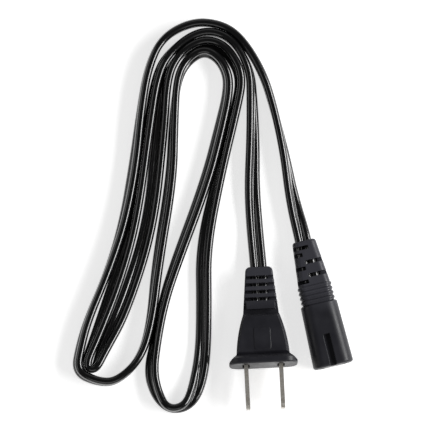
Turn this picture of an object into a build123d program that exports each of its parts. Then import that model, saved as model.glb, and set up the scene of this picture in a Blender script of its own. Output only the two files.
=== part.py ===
from build123d import *

import os
from math import atan2, cos, degrees, radians, tan

# Mains lead: a moulded two-blade plug, a flat twin cord laid in loose nested loops, and a moulded
# figure-8 appliance connector. Millimetres. The lead lies on the plane z = 0 with its box centred on
# the origin. +Y points away from the plug's blades, up the loops.

# Flat twin cord: two lobes joined by a web, each lobe flat-sided to keep the long cord light
lobe_diameter = 2.9
lobe_spacing = 3.3
web_thickness = 1.5
lobe_sides = 8
conductor_diameter = 1.5

# Plug moulding, along its axis from the cord end
neck_length = 17.5
neck_start_width = 9.7
neck_end_width = 13.1
neck_height = 8.4
neck_corner = 1.8
neck_edge = 0.7
body_length = 14.7
body_end_width = 19.3
body_bulge = 0.55
body_height = 10.6
body_bevel = 0.9
waist_length = 0.8
waist_inset = 1.0
flange_length = 2.9
flange_width = 24.9
flange_height = 14.0
flange_corner = 4.5
flange_taper = 2.7
flange_back_bevel = 0.8
flange_front_edge = 0.8

# Cross slots, shoulder and label pad of the plug
neck_slot_count = 4
neck_slot_pitch = 2.65
neck_slot_width = 1.3
neck_slot_first = 4.0
neck_slot_floor = 0.6
shoulder_start = 13.1
shoulder_width = 10.4
shoulder_gap = 1.9
shoulder_depth = 2.0
label_pad_width = 6.0
label_pad_length = 8.0
label_pad_margin = 1.5
label_pad_corner = 0.8
label_pad_height = 0.15

# Plug blades and what holds them
blade_pitch = 12.7
blade_width = 6.35
blade_thickness = 1.5
blade_reach = 15.9
blade_tip_bevel = 1.3
blade_hole_diameter = 3.2
blade_hole_reach = 11.9
blade_tail_width = 3.0
blade_tail_length = 1.4
blade_root_clearance = 0.55
blade_root_depth = 0.8
carrier_wall = 0.8
carrier_height = 7.4
carrier_length = 5.0
carrier_corner = 1.0
barrel_diameter = 3.2
barrel_length = 3.8

# Connector moulding, along its axis from the cord end
relief_length = 16.0
relief_start_width = 8.5
relief_end_width = 11.7
relief_start_height = 6.6
relief_end_height = 7.3
relief_corner = 2.2
relief_edge = 0.9
rib_count = 4
rib_width = 1.1
rib_gap = 0.6
rib_height = 0.4
rib_edge = 0.3
socket_length = 23.5
socket_start_width = 13.5
socket_face_width = 14.9
socket_height = 8.3
socket_edge = 0.5
socket_front_edge = 1.0
waist_groove_width = 2.4
waist_groove_length = 11.8
waist_groove_depth = 1.4

# Relief slots in the connector's top: place along the axis, side they open to, where they stop across
# it. The same slots, turned half round the axis, are cut from below
relief_slot_width = 1.4
relief_slots = [
    (2.6, -1, 1.0),
    (5.1, -1, -1.7),
    (8.0, 1, -1.3),
    (10.1, -1, -1.7),
    (12.9, 1, -1.3),
    (15.0, -1, -1.7),
]

# Connector contacts and what holds them
contact_pitch = 8.6
pin_bore_diameter = 2.5
contact_wall = 0.35
contact_length = 11.8
contact_back = 0.4
contact_lip = 1.5
insert_width = 12.6
insert_height = 4.6

# Cord ends inside the mouldings: where the two lobes part, and how they run to the crimps
plug_split = 13.4
connector_split = 17.0
core_start_straight = 1.5
core_end_straight = 2.2
core_bend_radius = 5.0
core_bend_share = 0.95
bare_length = 1.0

# How the lead lies: headings of the mouldings in plan, and the route of the cord between them
plug_heading = -87.2
connector_heading = -76.6
arc_share = 0.45
twist_steps = 8
plug_lead_points = 4
connector_lead_points = 3
route = [
    # From the plug up the straight leg and over the top bend, second strand from outside
    (16.6, -19.7),
    (15.2, -5.0),
    (14.2, 10.0),
    (14.6, 27.0),
    (14.3, 42.0),
    (13.9, 51.6),
    (7.5, 62.5),
    (1.3, 67.2),
    (-5.7, 67.2),
    (-13.9, 62.2),
    (-19.5, 53.3),
    # Down the left bundle to the tight fold
    (-23.1, 30.6),
    (-28.0, -1.0),
    (-34.6, -23.6),
    (-42.5, -43.6),
    (-46.7, -55.4),
    (-42.4, -57.3),
    # Back up the bundle and over the top bend, third strand
    (-39.2, -49.5),
    (-32.6, -34.2),
    (-22.9, -4.0),
    (-19.1, 30.5),
    (-16.6, 50.7),
    (-11.8, 59.4),
    (-5.3, 63.8),
    (0.2, 63.8),
    (4.9, 59.7),
    (10.2, 50.7),
    # Down and round the right-hand loop
    (8.2, 38.5),
    (2.2, 15.0),
    (-3.6, -11.5),
    (-3.3, -34.0),
    (-3.7, -52.0),
    (-6.4, -65.0),
    (-10.4, -70.5),
    (-16.6, -71.0),
    (-20.6, -65.5),
    (-22.8, -57.0),
    (-20.7, -45.5),
    (-18.3, -33.0),
    (-14.6, -20.5),
    (-2.4, 12.5),
    (2.9, 33.4),
    (5.5, 45.0),
    # Innermost strand over the top bend and down the bundle
    (5.2, 52.2),
    (1.6, 58.5),
    (-4.0, 60.4),
    (-9.9, 56.2),
    (-13.3, 49.0),
    (-14.5, 33.5),
    (-15.2, 13.0),
    (-20.3, -17.5),
    (-22.6, -40.0),
    # Wide turn below the fold
    (-26.6, -53.0),
    (-35.0, -61.0),
    (-42.0, -61.1),
    (-50.0, -57.4),
    # Up the left edge, outermost over the top bend and down to the connector
    (-48.3, -48.0),
    (-45.5, -38.0),
    (-38.5, -21.5),
    (-32.6, -3.0),
    (-28.8, 18.0),
    (-26.2, 38.0),
    (-23.7, 53.7),
    (-18.9, 65.2),
    (-7.9, 71.2),
    (2.6, 70.5),
    (10.6, 65.3),
    (18.8, 52.2),
    (22.3, 39.0),
    (26.2, 22.5),
    (28.8, 6.5),
    (33.0, -9.7),
]

# Sizes and places that follow from those above
cord_axis_height = (lobe_spacing + lobe_diameter) / 2
body_start = neck_length
waist_start = body_start + body_length
flange_start = waist_start + waist_length
plug_face = flange_start + flange_length
taper_end = waist_start + flange_taper
waist_end_width = body_end_width + (flange_width - body_end_width) * waist_length / flange_taper
label_pad_place = waist_start - label_pad_margin - label_pad_length / 2
plug_tilt = degrees(atan2((flange_height - neck_height) / 2, flange_start))
plug_axis_height = neck_height / 2 * cos(radians(plug_tilt))
blade_end = plug_face + blade_reach
carrier_width = blade_pitch + blade_thickness + 2 * carrier_wall
carrier_end = plug_face - blade_root_depth
carrier_start = carrier_end - carrier_length
blade_back = carrier_start - blade_tail_length
barrel_start = blade_back - barrel_length
crimp_offset = (blade_pitch - blade_thickness) / 2
rib_pitch = rib_width + rib_gap
socket_start = relief_length + rib_count * rib_pitch + rib_gap
socket_face = socket_start + socket_length
contact_offset = contact_pitch / 2
contact_diameter = pin_bore_diameter + 2 * contact_wall
contact_front = socket_face - contact_lip
contact_start = contact_front - contact_length
contact_barrel_end = contact_start - contact_back
contact_barrel_start = contact_barrel_end - barrel_length
sides = {"left": -1, "right": 1}


def axis_plane(start, height, heading, tilt):
    """Plane at the cord end of a moulding: z along its axis to its face, x across it, y up."""
    level = Vector(1, 0, 0).rotate(Axis.Z, heading)
    across = Vector(0, 0, 1).cross(level)
    along = level.rotate(Axis((0, 0, 0), across), -tilt)
    return Plane(origin=(start[0], start[1], height), x_dir=across, z_dir=along)


def plan_of(plane):
    """Plane through a moulding's axis for its plan view: x across it, y along it, z down."""
    return Plane(origin=plane.origin, x_dir=plane.x_dir, z_dir=-plane.y_dir)


def side_of(plane, across):
    """Plane parallel to a moulding's axis for its side view: x up, y along it, z across it."""
    return Plane(origin=plane.from_local_coords((across, 0, 0)), x_dir=plane.y_dir, z_dir=plane.x_dir)


def disc(plane, across, diameter):
    """Round section on a plane, off its axis."""
    with BuildSketch(plane) as section:
        with Locations((across, 0)):
            Circle(diameter / 2)
    return section.sketch


def cord_section(plane):
    """Section of the flat twin cord on a plane, its width along the plane's x."""
    with BuildSketch(plane) as section:
        with Locations((-lobe_spacing / 2, 0), (lobe_spacing / 2, 0)):
            RegularPolygon(lobe_diameter / 2, lobe_sides, major_radius=False, rotation=180 / lobe_sides)
        Rectangle(lobe_spacing, web_thickness)
    return section.sketch


def core_section(plane, across):
    """Section of one parted lobe on a plane, off its axis."""
    with BuildSketch(plane) as section:
        with Locations((across, 0)):
            RegularPolygon(lobe_diameter / 2, lobe_sides, major_radius=False, rotation=180 / lobe_sides)
    return section.sketch


def core_path(plane, split, core_end, start_across, end_across):
    """Way of one parted lobe from the split to the crimp behind its contact."""
    onward = core_end - core_end_straight - split - core_start_straight
    half_turn = atan2(abs(end_across - start_across), onward) / 2
    room = core_bend_share * core_start_straight / tan(half_turn)
    with BuildLine(plan_of(plane)) as core:
        FilletPolyline(
            (start_across, split),
            (start_across, split + core_start_straight),
            (end_across, core_end - core_end_straight),
            (end_across, core_end),
            radius=min(core_bend_radius, room),
        )
    return core.wire()


def bend_radii(points):
    """Radius of the arc at each inner point, as large as its two runs allow."""
    radii = []
    for before, here, after in zip(points, points[1:], points[2:]):
        run_in = here - before
        run_out = after - here
        half_turn = radians(run_in.get_angle(run_out)) / 2
        radii.append(arc_share * min(run_in.length, run_out.length) / tan(half_turn))
    return radii


def lead_sections(points, radii, end_plane):
    """Sections of a cord that turns from standing on edge in the loops to lying flat at a moulding."""
    with BuildLine() as lead:
        FilletPolyline(*points, radius=radii)
    path = lead.wire()
    up = Vector(0, 0, 1)
    sections = []
    for step in range(twist_steps):
        share = step / twist_steps
        along = path.tangent_at(share)
        rise = share * (end_plane.origin.Z - cord_axis_height)
        flat = up.cross(along)
        wide = flat.rotate(Axis((0, 0, 0), along), 90 * (1 - share))
        place = path.position_at(share) + up * rise
        sections.append(cord_section(Plane(origin=place, x_dir=wide, z_dir=along)))
    sections.append(cord_section(end_plane))
    return sections


plug_plane = axis_plane(route[0], plug_axis_height, plug_heading, plug_tilt)
plug_plan = plan_of(plug_plane)
plug_up = Axis(plug_plane.origin, plug_plane.y_dir)
plug_along = Axis(plug_plane.origin, plug_plane.z_dir)
connector_plane = axis_plane(route[-1], socket_height / 2, connector_heading, 0)
connector_plan = plan_of(connector_plane)
connector_along = Axis(connector_plane.origin, connector_plane.z_dir)

os.makedirs("parts", exist_ok=True)

# Plug blades: flat strips with bevelled tips and a hole, each with a crimp barrel behind it
plug_inner = []
for name, side in sides.items():
    with BuildPart() as plug_blade:
        with BuildSketch(side_of(plug_plane, side * blade_pitch / 2)):
            with BuildLine():
                Polyline(
                    (-blade_tail_width / 2, blade_back),
                    (-blade_width / 2, carrier_start),
                    (-blade_width / 2, blade_end - blade_tip_bevel),
                    (blade_tip_bevel - blade_width / 2, blade_end),
                    (blade_width / 2 - blade_tip_bevel, blade_end),
                    (blade_width / 2, blade_end - blade_tip_bevel),
                    (blade_width / 2, carrier_start),
                    (blade_tail_width / 2, blade_back),
                    close=True,
                )
            make_face()
            with Locations((0, plug_face + blade_hole_reach)):
                Circle(blade_hole_diameter / 2, mode=Mode.SUBTRACT)
        extrude(amount=blade_thickness / 2, both=True)
        barrel_plane = plug_plane.offset(barrel_start)
        extrude(disc(barrel_plane, side * crimp_offset, barrel_diameter), amount=barrel_length)
        bore = disc(barrel_plane, side * crimp_offset, conductor_diameter)
        extrude(bore, amount=barrel_length, mode=Mode.SUBTRACT)
    plug_blade.part.label = f"plug_blade_{name}"
    export_step(plug_blade.part, f"parts/plug_blade_{name}.step")

    # Bared copper of the cord, crimped in the barrel
    with BuildPart() as plug_conductor:
        bare_plane = plug_plane.offset(barrel_start - bare_length)
        bare = disc(bare_plane, side * crimp_offset, conductor_diameter)
        extrude(bare, amount=bare_length + barrel_length)
    plug_conductor.part.label = f"plug_conductor_{name}"
    export_step(plug_conductor.part, f"parts/plug_conductor_{name}.step")
    plug_inner.append(plug_blade.part)
    plug_inner.append(plug_conductor.part)

# Stiff block that holds the two blades at their spacing
with BuildPart() as plug_blade_carrier:
    with BuildSketch(plug_plane.offset(carrier_start)):
        RectangleRounded(carrier_width, carrier_height, carrier_corner)
    extrude(amount=carrier_length)
    add(plug_inner, mode=Mode.SUBTRACT)
plug_blade_carrier.part.label = "plug_blade_carrier"
export_step(plug_blade_carrier.part, "parts/plug_blade_carrier.step")

# Cord inside the plug, its lobes parted to the crimps
with BuildPart() as plug_cord_end:
    extrude(cord_section(plug_plane), amount=plug_split)
    for side in sides.values():
        start_across = side * lobe_spacing / 2
        core = core_path(
            plug_plane, plug_split, barrel_start - bare_length, start_across, side * crimp_offset
        )
        sweep(core_section(plug_plane.offset(plug_split), start_across), path=core)

# Neck of the plug moulding: a tapering strain relief with cross slots down to the cord
with BuildPart() as plug_neck:
    with BuildSketch(plug_plan):
        with BuildLine():
            Polyline(
                (-neck_start_width / 2, 0),
                (neck_start_width / 2, 0),
                (neck_end_width / 2, body_start),
                (-neck_end_width / 2, body_start),
                close=True,
            )
        make_face()
        fillet(vertices().group_by(Axis.Y)[0], neck_corner)
    extrude(amount=neck_height / 2, both=True)
    flat_faces = faces().filter_by(plug_up)
    fillet(flat_faces.edges(), neck_edge)
    for level in (-1, 1):
        with BuildSketch(plug_plan.offset(level * neck_slot_floor)):
            for slot in range(neck_slot_count):
                place = neck_slot_first + slot * neck_slot_pitch
                with Locations((0, place)):
                    Rectangle(2 * neck_end_width, neck_slot_width)
        extrude(amount=level * neck_height, mode=Mode.SUBTRACT)
    with BuildSketch(plug_plane.offset(shoulder_start)):
        Rectangle(2 * neck_end_width, 2 * neck_height)
        Rectangle(shoulder_width, 2 * neck_height, mode=Mode.SUBTRACT)
        Rectangle(2 * neck_end_width, neck_height - 2 * shoulder_depth, mode=Mode.SUBTRACT)
    extrude(amount=body_start - shoulder_start, mode=Mode.SUBTRACT)
    with BuildSketch(plug_plane.offset(body_start - shoulder_gap)):
        Rectangle(2 * neck_end_width, 2 * neck_height)
        Rectangle(2 * neck_end_width, neck_height - 2 * shoulder_depth, mode=Mode.SUBTRACT)
    extrude(amount=shoulder_gap, mode=Mode.SUBTRACT)

# Flange round the plug's face, its ends widening from the sides of the grip
with BuildPart() as plug_flange:
    with BuildSketch(plug_plane.offset(flange_start)):
        RectangleRounded(flange_width, flange_height, flange_corner)
    extrude(amount=flange_length)
    chamfer(faces().sort_by(plug_along)[0].edges(), flange_back_bevel)
    with BuildSketch(plug_plan):
        with BuildLine():
            Polyline(
                (-waist_end_width / 2, flange_start),
                (waist_end_width / 2, flange_start),
                (flange_width / 2, taper_end),
                (flange_width / 2, plug_face),
                (-flange_width / 2, plug_face),
                (-flange_width / 2, taper_end),
                close=True,
            )
        make_face()
    extrude(amount=flange_height, both=True, mode=Mode.INTERSECT)
    fillet(faces().sort_by(plug_along)[-1].edges(), flange_front_edge)

# Plug moulding: bell-shaped grip with neck, waist and flange, moulded round what it holds
with BuildPart() as plug_body:
    with BuildSketch(plug_plan):
        with BuildLine():
            bulge_across = (neck_end_width + body_end_width) / 4 + body_bulge
            bulge_along = body_start + body_length / 2
            Line((-neck_end_width / 2, body_start), (neck_end_width / 2, body_start))
            Line((-body_end_width / 2, waist_start), (body_end_width / 2, waist_start))
            for side in sides.values():
                ThreePointArc(
                    (side * neck_end_width / 2, body_start),
                    (side * bulge_across, bulge_along),
                    (side * body_end_width / 2, waist_start),
                )
        make_face()
    extrude(amount=body_height / 2, both=True)
    flat_faces = faces().filter_by(plug_up)
    chamfer(flat_faces.edges(), body_bevel)
    with BuildSketch(plug_plan.offset(-body_height / 2)):
        with Locations((0, label_pad_place)):
            RectangleRounded(label_pad_width, label_pad_length, label_pad_corner)
    extrude(amount=-label_pad_height)
    with BuildSketch(plug_plan):
        with BuildLine():
            Polyline(
                (-body_end_width / 2, waist_start),
                (body_end_width / 2, waist_start),
                (waist_end_width / 2, flange_start),
                (-waist_end_width / 2, flange_start),
                close=True,
            )
        make_face()
    extrude(amount=body_height / 2 - waist_inset, both=True)
    add(plug_neck.part)
    add(plug_flange.part)
    with BuildSketch(plug_plane.offset(carrier_end)):
        with Locations((-blade_pitch / 2, 0), (blade_pitch / 2, 0)):
            Rectangle(blade_thickness + 2 * blade_root_clearance, blade_width + 2 * blade_root_clearance)
    extrude(amount=blade_root_depth, mode=Mode.SUBTRACT)
    add(plug_blade_carrier.part, mode=Mode.SUBTRACT)
    add(plug_inner, mode=Mode.SUBTRACT)
    add(plug_cord_end.part, mode=Mode.SUBTRACT)
plug_body.part.label = "plug_body"
export_step(plug_body.part, "parts/plug_body.step")

# Connector contacts: tubes for the pins, closed behind, each with a crimp barrel
connector_inner = []
for name, side in sides.items():
    across = side * contact_offset
    with BuildPart() as contact_sleeve:
        barrel_plane = connector_plane.offset(contact_barrel_start)
        extrude(disc(barrel_plane, across, barrel_diameter), amount=barrel_length)
        tube_plane = connector_plane.offset(contact_barrel_end)
        extrude(disc(tube_plane, across, contact_diameter), amount=contact_back + contact_length)
        extrude(disc(barrel_plane, across, conductor_diameter), amount=barrel_length, mode=Mode.SUBTRACT)
        pin_plane = connector_plane.offset(contact_start)
        extrude(disc(pin_plane, across, pin_bore_diameter), amount=contact_length, mode=Mode.SUBTRACT)
    contact_sleeve.part.label = f"contact_sleeve_{name}"
    export_step(contact_sleeve.part, f"parts/contact_sleeve_{name}.step")

    # Bared copper of the cord, crimped in the barrel
    with BuildPart() as connector_conductor:
        bare_plane = connector_plane.offset(contact_barrel_start - bare_length)
        extrude(disc(bare_plane, across, conductor_diameter), amount=bare_length + barrel_length)
    connector_conductor.part.label = f"connector_conductor_{name}"
    export_step(connector_conductor.part, f"parts/connector_conductor_{name}.step")
    connector_inner.append(contact_sleeve.part)
    connector_inner.append(connector_conductor.part)

# Insert that holds the two contacts, flush with the connector's face
with BuildPart() as connector_contact_carrier:
    with BuildSketch(connector_plane.offset(contact_barrel_end)):
        SlotOverall(insert_width, insert_height)
    extrude(amount=socket_face - contact_barrel_end)
    for side in sides.values():
        seat_plane = connector_plane.offset(contact_barrel_end)
        seat = disc(seat_plane, side * contact_offset, contact_diameter)
        extrude(seat, amount=contact_front - contact_barrel_end, mode=Mode.SUBTRACT)
        mouth = disc(connector_plane.offset(contact_front), side * contact_offset, pin_bore_diameter)
        extrude(mouth, amount=contact_lip, mode=Mode.SUBTRACT)
connector_contact_carrier.part.label = "connector_contact_carrier"
export_step(connector_contact_carrier.part, "parts/connector_contact_carrier.step")

# Cord inside the connector, its lobes parted to the crimps
with BuildPart() as connector_cord_end:
    extrude(cord_section(connector_plane), amount=connector_split)
    for side in sides.values():
        start_across = side * lobe_spacing / 2
        core_end = contact_barrel_start - bare_length
        core = core_path(connector_plane, connector_split, core_end, start_across, side * contact_offset)
        sweep(core_section(connector_plane.offset(connector_split), start_across), path=core)

# Grip ribs between the connector's relief and its socket
with BuildPart() as connector_ribs:
    for rib in range(rib_count):
        with BuildSketch(connector_plane.offset(relief_length + rib_gap + rib * rib_pitch)):
            RectangleRounded(
                relief_end_width + 2 * rib_height,
                relief_end_height + 2 * rib_height,
                relief_corner + rib_height,
            )
        extrude(amount=rib_width)
    chamfer(faces().filter_by(connector_along).edges(), rib_edge)

# Socket end of the connector: widening to the face, pinched in the middle like a figure 8
with BuildPart() as connector_socket:
    with BuildSketch(connector_plane.offset(socket_start)):
        SlotOverall(socket_start_width, socket_height)
    with BuildSketch(connector_plane.offset(socket_face)):
        SlotOverall(socket_face_width, socket_height)
    loft(ruled=True)
    chamfer(faces().sort_by(connector_along)[0].edges(), socket_edge)
    fillet(faces().sort_by(connector_along)[-1].edges(), socket_front_edge)
    for level in (-1, 1):
        with BuildSketch(connector_plan.offset(level * socket_height / 2)):
            with Locations((0, socket_face)):
                Rectangle(waist_groove_width, 2 * waist_groove_length)
        extrude(amount=-level * waist_groove_depth, mode=Mode.SUBTRACT)

# Connector moulding: tapering relief with side slots, ribs and socket, moulded round what it holds
with BuildPart() as connector_body:
    with BuildSketch(connector_plane):
        RectangleRounded(relief_start_width, relief_start_height, relief_corner)
    with BuildSketch(connector_plane.offset(relief_length)):
        RectangleRounded(relief_end_width, relief_end_height, relief_corner)
    loft(ruled=True)
    fillet(faces().sort_by(connector_along)[0].edges(), relief_edge)
    for level in (-1, 1):
        with BuildSketch(connector_plan):
            for place, side, reach in relief_slots:
                with Locations((level * (reach + side * relief_end_width) / 2, place)):
                    Rectangle(relief_end_width - side * reach, relief_slot_width)
        extrude(amount=-level * relief_end_height, mode=Mode.SUBTRACT)
    with BuildSketch(connector_plane.offset(relief_length)):
        RectangleRounded(relief_end_width, relief_end_height, relief_corner)
    extrude(amount=socket_start - relief_length)
    add(connector_ribs.part)
    add(connector_socket.part)
    with BuildSketch(connector_plane.offset(contact_barrel_end)):
        SlotOverall(insert_width, insert_height)
    extrude(amount=socket_face - contact_barrel_end, mode=Mode.SUBTRACT)
    add(connector_inner, mode=Mode.SUBTRACT)
    add(connector_cord_end.part, mode=Mode.SUBTRACT)
connector_body.part.label = "connector_body"
export_step(connector_body.part, "parts/connector_body.step")

# Cord: standing on edge round the loops, turning flat towards each moulding
points = [Vector(x, y, cord_axis_height) for x, y in route]
radii = bend_radii(points)
plug_side = (points[plug_lead_points - 1] + points[plug_lead_points]) / 2
connector_side = (points[-connector_lead_points - 1] + points[-connector_lead_points]) / 2
loop_points = [plug_side] + points[plug_lead_points:-connector_lead_points] + [connector_side]
loop_radii = radii[plug_lead_points - 1 : 1 - connector_lead_points]
plug_lead = [plug_side] + points[plug_lead_points - 1 :: -1]
plug_lead_radii = radii[plug_lead_points - 2 :: -1]
connector_lead = [connector_side] + points[-connector_lead_points:]
connector_lead_radii = radii[1 - connector_lead_points :]
with BuildPart() as cord:
    with BuildLine() as loops:
        FilletPolyline(*loop_points, radius=loop_radii)
    loop_start = Plane(origin=plug_side, x_dir=(0, 0, 1), z_dir=loops.wire().tangent_at(0))
    sweep(cord_section(loop_start))
    loop_volume = cord.part.volume
    loft(lead_sections(plug_lead, plug_lead_radii, plug_plane), ruled=True)
    loft(lead_sections(connector_lead, connector_lead_radii, connector_plane), ruled=True)
    add(plug_cord_end.part)
    add(connector_cord_end.part)
cord.part.label = "cord"
export_step(cord.part, "parts/cord.step")

loop_length = loops.wire().length
section_area = cord_section(Plane.XY).area
print("cord radii:", " ".join(f"{radius:.1f}" for radius in radii))
swept_volume = section_area * loop_length
print(f"loops: length {loop_length:.1f}, volume {loop_volume:.1f}, section x length {swept_volume:.1f}")
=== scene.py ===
import logging
import math
from dataclasses import dataclass, field
from enum import Enum

import bmesh
import bpy
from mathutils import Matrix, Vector


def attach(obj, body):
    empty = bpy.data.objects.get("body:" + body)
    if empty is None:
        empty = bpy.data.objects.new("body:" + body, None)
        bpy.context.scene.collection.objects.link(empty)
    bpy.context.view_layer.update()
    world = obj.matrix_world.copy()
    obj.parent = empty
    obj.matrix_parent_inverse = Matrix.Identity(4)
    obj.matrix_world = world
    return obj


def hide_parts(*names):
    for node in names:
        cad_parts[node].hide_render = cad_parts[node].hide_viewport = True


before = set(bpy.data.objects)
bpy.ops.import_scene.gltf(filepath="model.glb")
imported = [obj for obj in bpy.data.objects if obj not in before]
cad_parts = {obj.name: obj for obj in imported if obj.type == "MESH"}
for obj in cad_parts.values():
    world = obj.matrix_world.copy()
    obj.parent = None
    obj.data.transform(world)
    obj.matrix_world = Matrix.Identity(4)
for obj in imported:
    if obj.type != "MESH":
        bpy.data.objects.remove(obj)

LOG = logging.getLogger("power_cord")
MM = 0.001
BODY = "root"
UP = Vector((0.0, 0.0, 1.0))
WHITE = (1.0, 1.0, 1.0, 1.0)

# UV layer of the cord, in metres along and around it
CORD_UV = "along_around"

# Sockets of a Mix node that mixes colours, by number because those for other data have the same names
MIX_FACTOR = 0
MIX_A = 6
MIX_B = 7
MIX_RESULT = 2

# Nearly all values of a noise texture lie between these two
NOISE_LOW = 0.3
NOISE_HIGH = 0.7


class FarEnd(Enum):
    """What the cord carries at its far end."""

    CONNECTOR = "connector"


class Stiffness(Enum):
    """How readily the cord bends."""

    MEDIUM = "medium"


class Lay(Enum):
    """How the cord lies."""

    LOOSE = "loose"


def linear(hex_colour: str) -> tuple[float, float, float, float]:
    """Turn an sRGB hex colour into linear light.

    Args:
        hex_colour: Six hex digits after a hash sign.

    Returns:
        Red, green, blue and an alpha of one.
    """
    channels = []
    for start in (1, 3, 5):
        value = int(hex_colour[start:start + 2], 16) / 255
        channels.append(value / 12.92 if value <= 0.04045 else ((value + 0.055) / 1.055) ** 2.4)
    return (*channels, 1.0)


def add_node(
    tree: bpy.types.NodeTree,
    kind: str,
    inputs: dict[str | int, object] | None = None,
    **settings: object,
) -> bpy.types.Node:
    """Add a shader node, with its settings, its values and its links.

    Args:
        tree: The node tree that takes the node.
        kind: Blender's name for the kind of node.
        inputs: A value, or another node's output, for each input by name or number.
        settings: Properties of the node itself.

    Returns:
        The new node.
    """
    node = tree.nodes.new(kind)
    for name, value in settings.items():
        setattr(node, name, value)
    for socket, value in (inputs or {}).items():
        if isinstance(value, bpy.types.NodeSocket):
            tree.links.new(value, node.inputs[socket])
        else:
            node.inputs[socket].default_value = value
    return node


@dataclass(frozen=True)
class Finish:
    """A surface: what it is made of and how it was made."""

    name: str

    def material(self) -> bpy.types.Material:
        """Make the Blender material.

        Returns:
            A material with this finish's surface.
        """
        material = bpy.data.materials.new(self.name)
        material.use_nodes = True
        tree = material.node_tree
        tree.nodes.clear()
        shader = add_node(tree, "ShaderNodeBsdfPrincipled", self.surface(tree))
        add_node(tree, "ShaderNodeOutputMaterial", {"Surface": shader.outputs["BSDF"]})
        return material

    def surface(self, tree: bpy.types.NodeTree) -> dict[str, object]:
        """Draw the surface's patterns.

        Args:
            tree: Node tree of the material.

        Returns:
            A value, or a node's output, for each input of the shader that this finish sets.
        """
        raise NotImplementedError


@dataclass(frozen=True)
class ExtrudedPvc(Finish):
    """Soft PVC drawn through a die, and handled since."""

    # The eye gets a sharp line of light along each lobe, from the smooth skin that the die leaves, with
    # faint streaks beside it and patches that handling has dulled. Real die lines are finer than a tenth of
    # a millimetre, and are drawn coarser so that they show.
    name: str = "extruded_pvc"
    dark: str = "#060607"
    light: str = "#0e0e0f"
    die_line: float = 0.35 * MM
    die_run: float = 30 * MM
    die_depth: float = 0.02 * MM
    die_strength: float = 0.1
    patch: float = 9 * MM
    roughness: tuple[float, float] = (0.16, 0.26)
    ior: float = 1.54
    skin: float = 1.0
    skin_roughness: float = 0.06

    def surface(self, tree: bpy.types.NodeTree) -> dict[str, object]:
        """Draw the die's lines and the handled patches.

        Args:
            tree: Node tree of the material.

        Returns:
            A value, or a node's output, for each input of the shader that this finish sets.
        """
        place = add_node(tree, "ShaderNodeUVMap", uv_map=CORD_UV)
        stretched = add_node(
            tree,
            "ShaderNodeMapping",
            {"Vector": place.outputs["UV"], "Scale": (1 / self.die_run, 1 / self.die_line, 1.0)},
        )
        lines = add_node(
            tree,
            "ShaderNodeTexNoise",
            {"Vector": stretched.outputs["Vector"], "Scale": 1.0, "Detail": 2.0},
        )
        handled = add_node(
            tree,
            "ShaderNodeTexNoise",
            {"Vector": place.outputs["UV"], "Scale": 1 / self.patch, "Detail": 3.0},
        )
        colour = add_node(
            tree,
            "ShaderNodeMix",
            {MIX_FACTOR: lines.outputs["Fac"], MIX_A: linear(self.dark), MIX_B: linear(self.light)},
            data_type="RGBA",
        )
        dulled = add_node(
            tree,
            "ShaderNodeMapRange",
            {
                "Value": handled.outputs["Fac"],
                "From Min": NOISE_LOW,
                "From Max": NOISE_HIGH,
                "To Min": self.roughness[0],
                "To Max": self.roughness[1],
            },
        )
        bump = add_node(
            tree,
            "ShaderNodeBump",
            {"Height": lines.outputs["Fac"], "Strength": self.die_strength, "Distance": self.die_depth},
        )
        return {
            "Base Color": colour.outputs[MIX_RESULT],
            "Roughness": dulled.outputs["Result"],
            "Normal": bump.outputs["Normal"],
            "IOR": self.ior,
            "Coat Weight": self.skin,
            "Coat Roughness": self.skin_roughness,
        }


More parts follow.
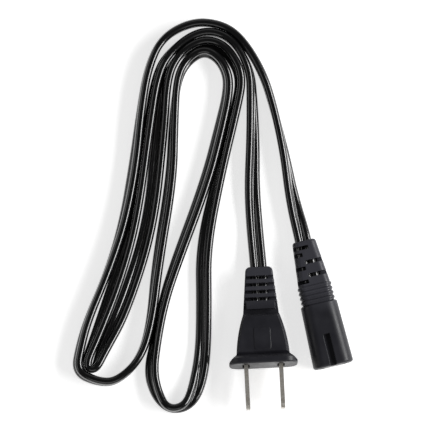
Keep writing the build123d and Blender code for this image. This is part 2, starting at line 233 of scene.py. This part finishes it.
@dataclass(frozen=True)
class MouldedPlastic(Finish):
    """Plastic from a spark-eroded mould: by default soft PVC, coloured paler towards the cord."""

    # The eye gets a satin black, where a fine even grain softens every highlight and no edge is sharp.
    # Along Y, towards the cord, the strain reliefs turn paler in colour between two set places, palest
    # beyond.
    # A real grain is about a tenth of a millimetre, and is drawn coarser so that it shows.
    name: str = "moulded_pvc"
    dark: str = "#1a1a1f"
    light: str = "#27272e"
    # Paler colour that the moulding takes towards the cord, along Y
    cord_end_colour: str = "#3a3a41"
    pale_from: float = -36 * MM
    palest_from: float = -28 * MM
    grain: float = 0.45 * MM
    grain_depth: float = 0.04 * MM
    grain_strength: float = 0.3
    patch: float = 6 * MM
    roughness: tuple[float, float] = (0.36, 0.48)
    soft_edge: float = 0.3 * MM
    edge_samples: int = 6

    def surface(self, tree: bpy.types.NodeTree) -> dict[str, object]:
        """Draw the grain, the handled patches and the paler colour towards the cord.

        Args:
            tree: Node tree of the material.

        Returns:
            A value, or a node's output, for each input of the shader that this finish sets.
        """
        place = add_node(tree, "ShaderNodeTexCoord")
        grain = add_node(
            tree,
            "ShaderNodeTexNoise",
            {"Vector": place.outputs["Object"], "Scale": 1 / self.grain, "Detail": 2.0},
        )
        handled = add_node(
            tree,
            "ShaderNodeTexNoise",
            {"Vector": place.outputs["Object"], "Scale": 1 / self.patch, "Detail": 4.0},
        )
        colour = add_node(
            tree,
            "ShaderNodeMix",
            {MIX_FACTOR: handled.outputs["Fac"], MIX_A: linear(self.dark), MIX_B: linear(self.light)},
            data_type="RGBA",
        )
        axes = add_node(tree, "ShaderNodeSeparateXYZ", {"Vector": place.outputs["Object"]})
        # Along Y, the colour goes paler towards the cord between two set places
        towards_cord = add_node(
            tree,
            "ShaderNodeMapRange",
            {"Value": axes.outputs["Y"], "From Min": self.pale_from, "From Max": self.palest_from},
        )
        paled = add_node(
            tree,
            "ShaderNodeMix",
            {
                MIX_FACTOR: towards_cord.outputs["Result"],
                MIX_A: colour.outputs[MIX_RESULT],
                MIX_B: linear(self.cord_end_colour),
            },
            data_type="RGBA",
        )
        dulled = add_node(
            tree,
            "ShaderNodeMapRange",
            {
                "Value": handled.outputs["Fac"],
                "From Min": NOISE_LOW,
                "From Max": NOISE_HIGH,
                "To Min": self.roughness[0],
                "To Max": self.roughness[1],
            },
        )
        edges = add_node(tree, "ShaderNodeBevel", {"Radius": self.soft_edge}, samples=self.edge_samples)
        bump = add_node(
            tree,
            "ShaderNodeBump",
            {
                "Height": grain.outputs["Fac"],
                "Strength": self.grain_strength,
                "Distance": self.grain_depth,
                "Normal": edges.outputs["Normal"],
            },
        )
        return {
            "Base Color": paled.outputs[MIX_RESULT],
            "Roughness": dulled.outputs["Result"],
            "Normal": bump.outputs["Normal"],
        }


@dataclass(frozen=True)
class WorkedMetal(Finish):
    """Metal that was stamped and plated, or drawn, and has tarnished a little."""

    # The eye gets a soft sheen, drawn out along the fine lines of the tool and clouded by tarnish. Real
    # tool lines are a few hundredths of a millimetre apart, and are drawn coarser so that they show.
    name: str
    clean: str
    tarnished: str
    tool_line: float = 0.12 * MM
    tool_run: float = 5 * MM
    tool_depth: float = 0.02 * MM
    tool_strength: float = 0.3
    cloud: float = 1.6 * MM
    cloud_break: float = 0.65
    cloud_range: tuple[float, float] = (0.38, 0.64)
    roughness: tuple[float, float] = (0.28, 0.5)

    def surface(self, tree: bpy.types.NodeTree) -> dict[str, object]:
        """Draw the tool's lines and the clouds of tarnish.

        Args:
            tree: Node tree of the material.

        Returns:
            A value, or a node's output, for each input of the shader that this finish sets.
        """
        place = add_node(tree, "ShaderNodeTexCoord")
        stretched = add_node(
            tree,
            "ShaderNodeMapping",
            {
                "Vector": place.outputs["Object"],
                "Scale": (1 / self.tool_line, 1 / self.tool_run, 1 / self.tool_line),
            },
        )
        lines = add_node(
            tree,
            "ShaderNodeTexNoise",
            {"Vector": stretched.outputs["Vector"], "Scale": 1.0, "Detail": 2.0},
        )
        clouds = add_node(
            tree,
            "ShaderNodeTexNoise",
            {
                "Vector": place.outputs["Object"],
                "Scale": 1 / self.cloud,
                "Detail": 5.0,
                "Roughness": self.cloud_break,
            },
        )
        tarnish = add_node(
            tree,
            "ShaderNodeMapRange",
            {
                "Value": clouds.outputs["Fac"],
                "From Min": self.cloud_range[0],
                "From Max": self.cloud_range[1],
            },
        )
        colour = add_node(
            tree,
            "ShaderNodeMix",
            {
                MIX_FACTOR: tarnish.outputs["Result"],
                MIX_A: linear(self.clean),
                MIX_B: linear(self.tarnished),
            },
            data_type="RGBA",
        )
        dulled = add_node(
            tree,
            "ShaderNodeMapRange",
            {"Value": tarnish.outputs["Result"], "To Min": self.roughness[0], "To Max": self.roughness[1]},
        )
        bump = add_node(
            tree,
            "ShaderNodeBump",
            {"Height": lines.outputs["Fac"], "Strength": self.tool_strength, "Distance": self.tool_depth},
        )
        return {
            "Base Color": colour.outputs[MIX_RESULT],
            "Metallic": 1.0,
            "Roughness": dulled.outputs["Result"],
            "Normal": bump.outputs["Normal"],
        }


@dataclass(frozen=True)
class PaperSweep(Finish):
    """Matt white studio paper."""

    # The eye gets plain white that takes a soft shadow. The lift keeps it white to the camera and in
    # reflections, without lighting the object. A paper's real tooth is about a tenth of a millimetre, and
    # is drawn coarser so that it can show.
    name: str = "paper_sweep"
    colour: str = "#f4f4f4"
    lift: float = 0.68
    roughness: float = 0.95
    tooth: float = 1.11 * MM
    tooth_depth: float = 0.05 * MM
    tooth_strength: float = 0.1

    def surface(self, tree: bpy.types.NodeTree) -> dict[str, object]:
        """Draw the paper's tooth and lift its white.

        Args:
            tree: Node tree of the material.

        Returns:
            A value, or a node's output, for each input of the shader that this finish sets.
        """
        place = add_node(tree, "ShaderNodeTexCoord")
        tooth = add_node(
            tree,
            "ShaderNodeTexNoise",
            {"Vector": place.outputs["Object"], "Scale": 1 / self.tooth},
        )
        bump = add_node(
            tree,
            "ShaderNodeBump",
            {"Height": tooth.outputs["Fac"], "Strength": self.tooth_strength, "Distance": self.tooth_depth},
        )
        path = add_node(tree, "ShaderNodeLightPath")
        seen = path.outputs["Is Camera Ray"]
        for bounce in ("Is Glossy Ray", "Is Transmission Ray"):
            either = add_node(
                tree,
                "ShaderNodeMath",
                {0: seen, 1: path.outputs[bounce]},
                operation="MAXIMUM",
            )
            seen = either.outputs["Value"]
        lifted = add_node(tree, "ShaderNodeMath", {0: seen, 1: self.lift}, operation="MULTIPLY")
        return {
            "Base Color": linear(self.colour),
            "Roughness": self.roughness,
            "Specular IOR Level": 0.0,
            "Emission Color": WHITE,
            "Emission Strength": lifted.outputs["Value"],
            "Normal": bump.outputs["Normal"],
        }


CORD_PVC = ExtrudedPvc()
MOULDED_PVC = MouldedPlastic()

# Smoother than the mouldings round it, so it looks harder; towards the cord it only turns to its own
# lighter tone
INSERT_PLASTIC = MouldedPlastic(
    name="moulded_nylon",
    dark="#1c1c1d",
    light="#262628",
    cord_end_colour="#262628",
    grain=0.6 * MM,
    patch=4 * MM,
    roughness=(0.3, 0.42),
)

# A pale dull plate with hardly any colour
PLATED_BLADE = WorkedMetal("stamped_plated_brass", "#dad7d0", "#a8a298", roughness=(0.48, 0.66))

# Bare metals, one yellow and one red, that go brown where they tarnish
CONTACT_BRASS = WorkedMetal("drawn_brass", "#c9a869", "#93733c")
COPPER_STRAND = WorkedMetal("drawn_copper", "#c98b66", "#8a5639")


def new_piece(
    name: str,
    mesh: bpy.types.Mesh,
    finish: Finish,
    nodes: tuple[str, ...],
) -> bpy.types.Object:
    """Put a mesh into the scene as a piece that stands for CAD nodes.

    Args:
        name: Name of the piece.
        mesh: Its mesh, in the shared frame.
        finish: Its surface.
        nodes: The CAD nodes that it stands for.

    Returns:
        The new object.
    """
    mesh.materials.clear()
    mesh.materials.append(finish.material())
    piece = bpy.data.objects.new(name, mesh)
    bpy.context.scene.collection.objects.link(piece)
    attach(piece, BODY)
    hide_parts(*nodes)
    return piece


def paint(node: str, finish: Finish) -> bpy.types.Object:
    """Give a CAD node its finish.

    Args:
        node: Name of the node.
        finish: Its surface.

    Returns:
        The node's object.
    """
    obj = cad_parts[node]
    obj.data.materials.clear()
    obj.data.materials.append(finish.material())
    return obj


def smooth_line(points: list[tuple[float, float, float]], steps: int) -> list[Vector]:
    """Read points off the smooth spline that a list of points steers.

    Args:
        points: Control points.
        steps: Steps between one control point and the next.

    Returns:
        Points on the spline, evenly spaced in its parameter.
    """
    curve = bpy.data.curves.new("guide", "CURVE")
    curve.dimensions = "3D"
    curve.resolution_u = steps
    spline = curve.splines.new("NURBS")
    spline.points.add(len(points) - 1)
    for control, point in zip(spline.points, points):
        control.co = (*point, 1.0)
    spline.order_u = 3
    spline.use_endpoint_u = True
    guide = bpy.data.objects.new("guide", curve)
    bpy.context.scene.collection.objects.link(guide)
    mesh = bpy.data.meshes.new_from_object(guide)
    line = [vertex.co.copy() for vertex in mesh.vertices]
    bpy.data.objects.remove(guide)
    bpy.data.curves.remove(curve)
    bpy.data.meshes.remove(mesh)
    return line


# Route of the cord, in millimetres and degrees: place on the floor, then how far the flat cord is rolled
# about its own line. It lies flat at 180 and near 360, and stands on edge at 90 and 270.
ROUTE = [
    # From inside the plug, up the right
    (17.23, -32.64, 180), (16.9, -25.9, 180), (16.6, -19.7, 180), (15.2, -5.0, 184), (14.2, 10.0, 209),
    (14.6, 27.0, 229), (14.3, 42.0, 248),
    # Over the arch to the left
    (13.7, 53.1, 262), (8.4, 63.3, 270), (1.7, 67.5, 268), (-5.7, 67.3, 268), (-13.9, 62.0, 264),
    (-20.5, 53.3, 252),
    # Down the left to the tight fold, and back up
    (-23.9, 30.6, 250), (-28.0, -1.0, 252), (-35.0, -23.4, 214), (-42.0, -43.0, 238), (-46.9, -55.3, 258),
    (-43.0, -57.2, 278), (-40.2, -49.6, 312), (-32.6, -34.2, 352), (-22.9, -4.0, 330), (-19.5, 30.5, 340),
    # Over the arch to the right
    (-17.4, 50.7, 291), (-12.2, 59.6, 270), (-5.4, 63.5, 252), (0.4, 63.5, 240), (5.8, 60.0, 242),
    (10.6, 50.9, 250),
    # Down the middle, round the lowest loop, and back up
    (8.2, 38.5, 250), (2.2, 15.0, 238), (-3.6, -11.5, 203), (-3.3, -34.0, 207), (-3.7, -52.0, 203),
    (-6.4, -65.0, 150), (-10.4, -70.5, 105), (-16.6, -71.0, 88), (-20.6, -65.5, 122), (-22.8, -57.0, 138),
    (-20.7, -45.5, 112), (-18.3, -33.0, 112), (-14.6, -20.5, 119), (-2.4, 12.5, 122), (2.9, 33.4, 118),
    # Innermost over the arch to the left
    (5.5, 45.0, 110), (5.3, 52.2, 104), (1.6, 58.4, 102), (-4.0, 60.8, 108), (-10.2, 56.2, 104),
    (-13.3, 48.8, 94),
    # Down the left, round below the fold, and up outside it
    (-14.5, 33.5, 74), (-15.2, 13.0, 62), (-20.3, -17.5, 62), (-22.6, -40.0, 79), (-26.6, -53.0, 86),
    (-35.0, -61.0, 90), (-42.0, -61.1, 94), (-50.0, -57.4, 104), (-48.3, -48.0, 104), (-45.5, -38.0, 98),
    (-38.5, -21.5, 94), (-32.6, -3.0, 106), (-28.8, 18.0, 114), (-26.5, 38.0, 98),
    # Outermost over the arch to the right
    (-24.0, 53.7, 96), (-18.9, 65.2, 94), (-7.9, 71.2, 92), (2.6, 70.5, 94), (10.3, 65.5, 92),
    (18.2, 52.5, 88),
    # Down the right and into the connector
    (22.3, 39.0, 88), (26.2, 22.5, 104), (28.8, 6.5, 132), (33.0, -9.7, 180), (34.25, -17.65, 180),
    (36.35, -25.4, 180),
]

# Heights in millimetres of the route's ends, where the mouldings hold the cord off the floor
PLUG_HEIGHTS = [5.28, 4.71, 4.18]
CONNECTOR_HEIGHTS = [4.15, 4.15, 4.15]


@dataclass
class TwinCord:
    """Flat cord of two round lobes, lying in nested loops."""

    lobe_radius: float = 1.45 * MM
    lobe_spacing: float = 3.3 * MM
    groove: float = 0.6 * MM
    lobe_points: int = 18
    steps: int = 12
    length: float = 1.065
    far_end: FarEnd = FarEnd.CONNECTOR
    stiffness: Stiffness = Stiffness.MEDIUM
    lay: Lay = Lay.LOOSE

    def outline(self) -> list[tuple[float, float]]:
        """Trace the section.

        Returns:
            Points across and up, once round both lobes and the groove between them.
        """
        reach = math.pi - math.asin(self.groove / self.lobe_radius)
        half = []
        for i in range(self.lobe_points):
            turn = reach * (2 * i / (self.lobe_points - 1) - 1)
            across = self.lobe_spacing / 2 + self.lobe_radius * math.cos(turn)
            half.append((across, self.lobe_radius * math.sin(turn)))
        return half + [(-across, -up) for across, up in half]

    def rest_height(self, roll: float) -> float:
        """Height of the cord's middle where it rests on the floor, rolled up by an angle in radians."""
        return self.lobe_radius + self.lobe_spacing / 2 * abs(math.sin(roll))

    def controls(self) -> list[tuple[float, float, float]]:
        """Place the route's points at the heights they have on the floor or in a moulding.

        Returns:
            Control points in metres.
        """
        heights = [self.rest_height(math.radians(roll)) for _, _, roll in ROUTE]
        heights[:len(PLUG_HEIGHTS)] = [height * MM for height in PLUG_HEIGHTS]
        heights[-len(CONNECTOR_HEIGHTS):] = [height * MM for height in CONNECTOR_HEIGHTS]
        return [(x * MM, y * MM, height) for (x, y, _), height in zip(ROUTE, heights)]

    def build(self, with_pieces: list[bpy.types.Object]) -> bpy.types.Object:
        """Args:
            with_pieces: The pieces on its two ends; not used.

        Returns:
            The cord's object.
        """
        line = smooth_line(self.controls(), self.steps)
        turns = [(math.radians(roll), 0.0, 0.0) for _, _, roll in ROUTE]
        rolls = [point.x for point in smooth_line(turns, self.steps)]
        for point, roll in zip(line, rolls):
            point.z = max(point.z, self.rest_height(roll))
        piece = new_piece("cord_twin", self.tube(line, rolls), CORD_PVC, ("cord",))
        return piece

    def section_axes(self, forward: Vector, roll: float) -> tuple[Vector, Vector]:
        """Find which way the section lies at a point of the cord.

        Args:
            forward: Direction of the cord, of length one.
            roll: How far the cord is rolled there, in radians.

        Returns:
            Directions across both lobes and through them.
        """
        left = UP.cross(forward).normalized()
        up = forward.cross(left)
        wide = left * math.cos(roll) + up * math.sin(roll)
        thick = up * math.cos(roll) - left * math.sin(roll)
        return wide, thick

    def tube(self, line: list[Vector], rolls: list[float]) -> bpy.types.Mesh:
        """Carry the section along a line.

        Args:
            line: Points of the cord's middle.
            rolls: Roll at each point, in radians.

        Returns:
            A closed tube whose UVs run in metres along and around it.
        """
        outline = self.outline()
        around = [0.0]
        for here, after in zip(outline, outline[1:] + outline[:1]):
            around.append(around[-1] + math.dist(here, after))
        along = [0.0]
        for here, after in zip(line, line[1:]):
            along.append(along[-1] + (after - here).length)
        tube = bmesh.new()
        uv_layer = tube.loops.layers.uv.new(CORD_UV)
        rings = []
        for i, (centre, roll) in enumerate(zip(line, rolls)):
            forward = (line[min(i + 1, len(line) - 1)] - line[max(i - 1, 0)]).normalized()
            wide, thick = self.section_axes(forward, roll)
            places = [centre + wide * across + thick * rise for across, rise in outline]
            rings.append([tube.verts.new(place) for place in places])
        for i in range(len(rings) - 1):
            near, far = rings[i], rings[i + 1]
            for k in range(len(outline)):
                after = (k + 1) % len(outline)
                face = tube.faces.new((near[k], near[after], far[after], far[k]))
                face.smooth = True
                corners = ((i, k), (i, k + 1), (i + 1, k + 1), (i + 1, k))
                for loop, (station, turn) in zip(face.loops, corners):
                    loop[uv_layer].uv = (along[station], around[turn])
        tube.faces.new(list(reversed(rings[0])))
        tube.faces.new(rings[-1])
        bmesh.ops.recalc_face_normals(tube, faces=tube.faces)
        mesh = bpy.data.meshes.new("cord_twin")
        tube.to_mesh(mesh)
        tube.free()
        return mesh


@dataclass
class PlugEnd:
    """Plug with two flat blades."""

    moulding: str = "plug_body"
    carrier: str = "plug_blade_carrier"
    blades: tuple[str, ...] = ("plug_blade_left", "plug_blade_right")
    conductors: tuple[str, ...] = ("plug_conductor_left", "plug_conductor_right")

    def build(self) -> list[bpy.types.Object]:
        """Finish every piece of the plug.

        Returns:
            The pieces.
        """
        pieces = [paint(self.moulding, MOULDED_PVC), paint(self.carrier, INSERT_PLASTIC)]
        pieces += [paint(blade, PLATED_BLADE) for blade in self.blades]
        pieces += [paint(conductor, COPPER_STRAND) for conductor in self.conductors]
        return pieces


@dataclass
class ConnectorEnd:
    """Figure-8 connector with its slotted strain relief."""

    moulding: str = "connector_body"
    carrier: str = "connector_contact_carrier"
    contacts: tuple[str, ...] = ("contact_sleeve_left", "contact_sleeve_right")
    conductors: tuple[str, ...] = ("connector_conductor_left", "connector_conductor_right")

    def build(self) -> list[bpy.types.Object]:
        """Finish every piece of the connector.

        Returns:
            The pieces.
        """
        pieces = [paint(self.moulding, MOULDED_PVC), paint(self.carrier, INSERT_PLASTIC)]
        pieces += [paint(contact, CONTACT_BRASS) for contact in self.contacts]
        pieces += [paint(conductor, COPPER_STRAND) for conductor in self.conductors]
        return pieces


@dataclass
class Softbox:
    """One rectangular studio light, in metres and watts, aimed at the middle of the lead."""

    name: str
    place: tuple[float, float, float]
    size: tuple[float, float]
    power: float

    def build(self) -> None:
        """Hang the light and aim it."""
        lamp = bpy.data.lights.new(self.name, "AREA")
        lamp.shape = "RECTANGLE"
        lamp.size, lamp.size_y = self.size
        lamp.energy = self.power
        light = bpy.data.objects.new(self.name, lamp)
        light.location = self.place
        light.rotation_euler = (-Vector(self.place)).to_track_quat("-Z", "Y").to_euler()
        bpy.context.scene.collection.objects.link(light)


@dataclass
class Studio:
    """Floor, lights and camera."""

    floor_size: float = 3.0
    world_level: float = 0.05
    camera_elevation: float = 84.0
    camera_distance: float = 2.0
    sensor_width: float = 36.0
    frame_width: float = 157.0 * MM
    aim: tuple[float, float, float] = (0.7 * MM, 0.0, 3.0 * MM)
    softboxes: list[Softbox] = field(
        default_factory=lambda: [
            Softbox("right_panel", (0.75, 0.0, 0.5), (0.9, 0.28), 8.4),
            Softbox("left_panel", (-0.75, 0.1, 0.5), (0.9, 0.3), 0.8),
            Softbox("back_panel", (0.0, 0.8, 0.5), (0.9, 0.5), 0.4),
            Softbox("front_panel", (0.0, -0.8, 0.6), (0.9, 0.5), 0.95),
        ]
    )

    def build(self) -> None:
        """Set up everything round the object."""
        self.lay_floor()
        self.light_world()
        for softbox in self.softboxes:
            softbox.build()
        self.place_camera()
        bpy.context.scene.view_settings.view_transform = "Standard"

    def lay_floor(self) -> None:
        """Lay the white paper under the lead."""
        mesh = bpy.data.meshes.new("floor")
        half = self.floor_size / 2
        corners = [(-half, -half, 0.0), (half, -half, 0.0), (half, half, 0.0), (-half, half, 0.0)]
        mesh.from_pydata(corners, [], [(0, 1, 2, 3)])
        mesh.materials.append(PaperSweep().material())
        floor = bpy.data.objects.new("floor", mesh)
        bpy.context.scene.collection.objects.link(floor)

    def light_world(self) -> None:
        """Fill the room with even white light."""
        world = bpy.data.worlds.new("room")
        world.use_nodes = True
        background = world.node_tree.nodes["Background"]
        background.inputs["Color"].default_value = WHITE
        background.inputs["Strength"].default_value = self.world_level
        bpy.context.scene.world = world

    def place_camera(self) -> None:
        """Look down on the lead as the photograph does."""
        lens = bpy.data.cameras.new("camera")
        lens.sensor_width = self.sensor_width
        lens.lens = self.sensor_width * self.camera_distance / self.frame_width
        camera = bpy.data.objects.new("camera", lens)
        lift = math.radians(self.camera_elevation)
        back = Vector((0.0, -math.cos(lift), math.sin(lift)))
        camera.location = Vector(self.aim) + back * self.camera_distance
        camera.rotation_euler = (math.pi / 2 - lift, 0.0, 0.0)
        bpy.context.scene.collection.objects.link(camera)
        bpy.context.scene.camera = camera


def main() -> None:
    """Dress the power cord and set it in the studio."""
    logging.basicConfig(level=logging.INFO, format="%(name)s: %(message)s")
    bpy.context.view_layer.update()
    plug = PlugEnd().build()
    connector = ConnectorEnd().build()
    cord = TwinCord().build(plug + connector)
    for piece in (*plug, *connector, cord):
        LOG.info("%s: %d faces of %s", piece.name, len(piece.data.polygons), piece.data.materials[0].name)
    Studio().build()


if __name__ == "__main__":
    main()
